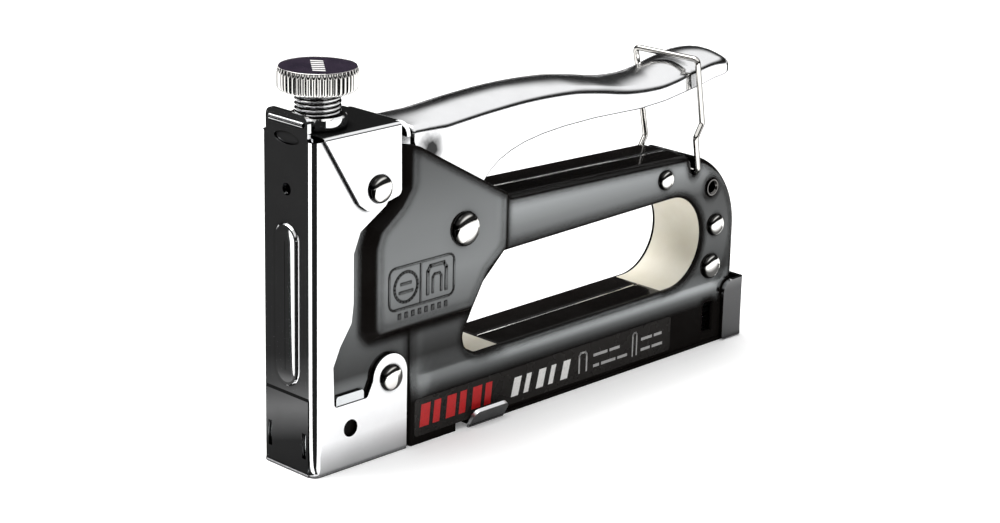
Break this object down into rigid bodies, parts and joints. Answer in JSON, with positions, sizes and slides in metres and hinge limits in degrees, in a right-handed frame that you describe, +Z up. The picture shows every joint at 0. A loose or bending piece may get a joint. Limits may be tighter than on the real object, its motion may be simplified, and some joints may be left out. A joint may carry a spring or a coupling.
{
  "type": "staple gun",
  "caption": "Hand-squeezed staple gun: chrome nose and lever on black pressed-steel shells, power knob on top, wire bail that latches the lever, pull-out magazine.",
  "frame": {"origin": "centre of the overall length and width, on the base plane that the nose and the magazine rest on", "axes": "+X back from the nose to the end cap, +Y across to the left side, +Z up"},
  "size_m": [0.18, 0.0308, 0.1112],
  "materials": {
    "chrome": "bright chrome plate on pressed steel, fine handling marks",
    "plain_steel": "oiled hardened steel",
    "spring_steel": "drawn spring wire",
    "black_enamel": "gloss black stoved enamel with slight orange peel",
    "cream_plastic": "satin ivory moulded plastic",
    "label_film": null,
    "dark_disc": null,
    "rubber": "moulded rubber",
    "staple_wire": "galvanised flat wire"
  },
  "bodies": {
    "frame": {"nose_cover": "chrome", "top_cap": "chrome", "screw_bush": "chrome", "right_shell": "black_enamel", "left_shell": "black_enamel", "nose_guide": "plain_steel", "magazine_channel": "plain_steel", "rear_liner": "cream_plastic", "front_liner": "cream_plastic", "striker_bumper": "rubber", "side_labels": "label_film", "notch_lugs": "chrome", "cap_rivet": "chrome", "ear_rivet": "chrome", "pivot_pin": "chrome", "rear_rivets": "chrome", "hollow_pin": "black_enamel", "mainspring": "spring_steel", "staple_strip": "staple_wire"},
    "lever": {"lever": "chrome", "lift_arm": "plain_steel", "arm_pin": "plain_steel", "return_spring": "spring_steel"},
    "striker": {"striker_blade": "plain_steel", "striker_carrier": "plain_steel"},
    "seat": {"spring_seat": "plain_steel"},
    "knob": {"knob": "chrome", "knob_disc": "dark_disc", "adjusting_screw": "chrome"},
    "bail": {"bail": "chrome"},
    "magazine": {"slide_plate": "black_enamel", "staple_rail": "plain_steel", "end_cap": "chrome", "side_tabs": "chrome", "pusher_rod": "plain_steel", "pusher_spring": "spring_steel"},
    "pusher": {"pusher": "plain_steel"}
  },
  "joints": [
    {"name": "lever_pivot", "type": "hinge", "parent": "frame", "child": "lever", "pos_m": [-0.0358, 0, 0.0607], "axis": [0, 1, 0], "range_deg": [0, 11.4], "stiffness_Nm_per_rad": 0.3, "springref_deg": -17.19},
    {"name": "striker_slide", "type": "slide", "parent": "frame", "child": "striker", "axis": [0, 0, 1], "range_m": [0, 0.0084], "deforming": ["mainspring"]},
    {"name": "tension_slide", "type": "slide", "parent": "frame", "child": "seat", "axis": [0, 0, 1], "range_m": [-0.00375, 0.0025]},
    {"name": "knob_turn", "type": "hinge", "parent": "seat", "child": "knob", "pos_m": [-0.0785, 0, 0.1], "axis": [0, 0, 1], "range_deg": [-1085, 725]},
    {"name": "bail_swing", "type": "hinge", "parent": "frame", "child": "bail", "pos_m": [0.065, 0, 0.0582], "axis": [0, 1, 0], "range_deg": [0, 75]},
    {"name": "magazine_slide", "type": "slide", "parent": "frame", "child": "magazine", "axis": [1, 0, 0], "range_m": [0, 0.1]},
    {"name": "pusher_slide", "type": "slide", "parent": "magazine", "child": "pusher", "axis": [1, 0, 0], "range_m": [0, 0.085], "stiffness_N_per_m": 6, "springref_m": -0.08, "deforming": ["pusher_spring"]}
  ],
  "couplings": [
    {"joint": "striker_slide", "follows": "lever_pivot", "m_per_rad": 0.0404},
    {"joint": "knob_turn", "follows": "tension_slide", "rad_per_m": 5026.5}
  ]
}
